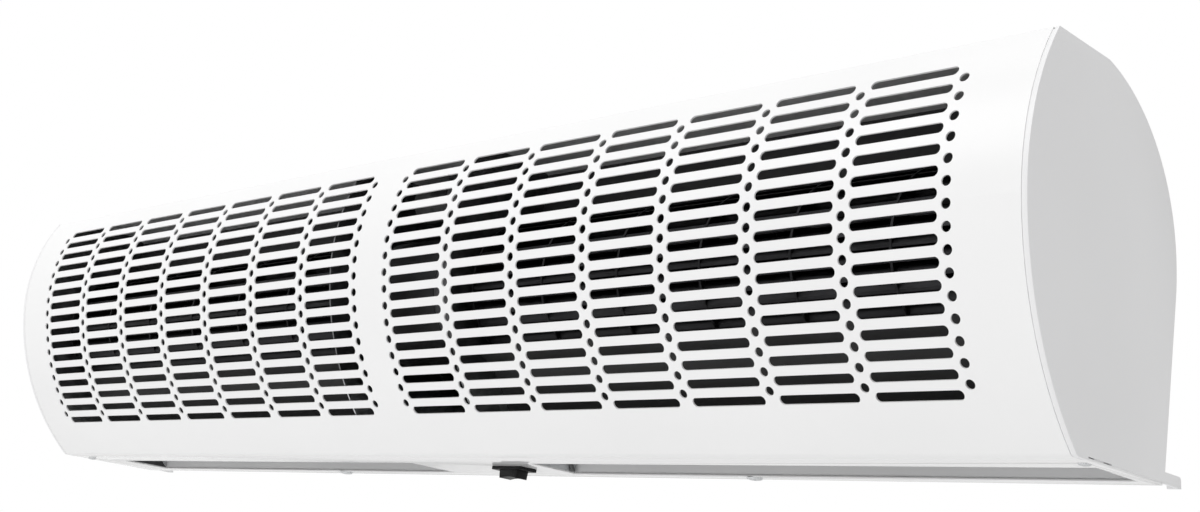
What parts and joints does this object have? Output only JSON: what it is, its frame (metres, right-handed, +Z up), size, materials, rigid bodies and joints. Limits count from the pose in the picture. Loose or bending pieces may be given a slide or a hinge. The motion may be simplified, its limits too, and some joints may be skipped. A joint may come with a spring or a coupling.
{
  "type": "air curtain",
  "caption": "Unheated wall-hung air curtain for a doorway, with a curved slotted intake front, two long impellers on a central motor and a slot outlet underneath.",
  "frame": {"origin": "centre of the four wall screw holes, on the wall plane", "axes": "+X along the body's length, to the right as seen by someone facing its front; +Y into the wall; +Z up"},
  "size_m": [1, 0.1473, 0.2241],
  "materials": {
    "white_enamel": "smooth satin white enamel",
    "cap_enamel": "smooth satin light grey enamel",
    "duct_coating": "matte grey coating",
    "galvanised_sheet": "galvanised, satin",
    "bracket_zinc": "zinc plated, satin",
    "blade_aluminium": "matte",
    "cast_aluminium": "cast, matte",
    "core_laminations": "varnished laminations",
    "shaft_steel": "ground",
    "bearing_steel": "polished",
    "sintered_bronze": "sintered",
    "black_rubber": "matte",
    "capacitor_case": "moulded",
    "ivory_moulding": "moulded",
    "loom_sleeve": "sleeved wires",
    "black_moulding": "moulded, lightly glossy",
    "screw_zinc": "zinc plated"
  },
  "bodies": {
    "housing": {"front_cover": "white_enamel", "rear_shell": "white_enamel", "bottom_tray": "white_enamel", "side_cap_left": "cap_enamel", "side_cap_right": "cap_enamel", "bulkhead_left_end": "galvanised_sheet", "bulkhead_motor_left": "galvanised_sheet", "bulkhead_motor_right": "galvanised_sheet", "bulkhead_right_end": "galvanised_sheet", "scroll_guide_left": "duct_coating", "scroll_guide_right": "duct_coating", "tongue_plate_left": "duct_coating", "tongue_plate_right": "duct_coating", "bush_left": "sintered_bronze", "bush_right": "sintered_bronze", "bush_boot_left": "black_rubber", "bush_boot_right": "black_rubber", "motor_stator": "core_laminations", "motor_end_left": "cast_aluminium", "motor_end_right": "cast_aluminium", "motor_bearing_left": "bearing_steel", "motor_bearing_right": "bearing_steel", "rubber_ring_left": "black_rubber", "rubber_ring_right": "black_rubber", "motor_cradle": "galvanised_sheet", "motor_straps": "galvanised_sheet", "capacitor": "capacitor_case", "capacitor_clip": "galvanised_sheet", "terminal_block": "ivory_moulding", "cable_grommet": "black_rubber", "cable_clamp": "ivory_moulding", "wiring_loom": "loom_sleeve", "loom_grommets": "black_rubber", "switch_housing": "black_moulding", "wall_bracket_left": "bracket_zinc", "wall_bracket_right": "bracket_zinc", "cover_screws": "screw_zinc", "shell_screws": "screw_zinc", "tray_screws": "screw_zinc"},
    "rotor": {"impeller_left": "blade_aluminium", "impeller_right": "blade_aluminium", "drive_hub_left": "black_rubber", "drive_hub_right": "black_rubber", "stub_shaft_left": "shaft_steel", "stub_shaft_right": "shaft_steel", "motor_rotor": "core_laminations", "motor_shaft": "shaft_steel"},
    "rocker": {"switch_rocker": "black_moulding"}
  },
  "joints": [
    {"name": "rotor_spin", "type": "hinge", "parent": "housing", "child": "rotor", "pos_m": [0, -0.08455, -0.05845], "axis": [1, 0, 0], "continuous": true},
    {"name": "rocker_tilt", "type": "hinge", "parent": "housing", "child": "rocker", "pos_m": [0.0445, -0.05479, -0.17184], "axis": [0, 0.9848, -0.1736], "range_deg": [-11, 11]}
  ]
}
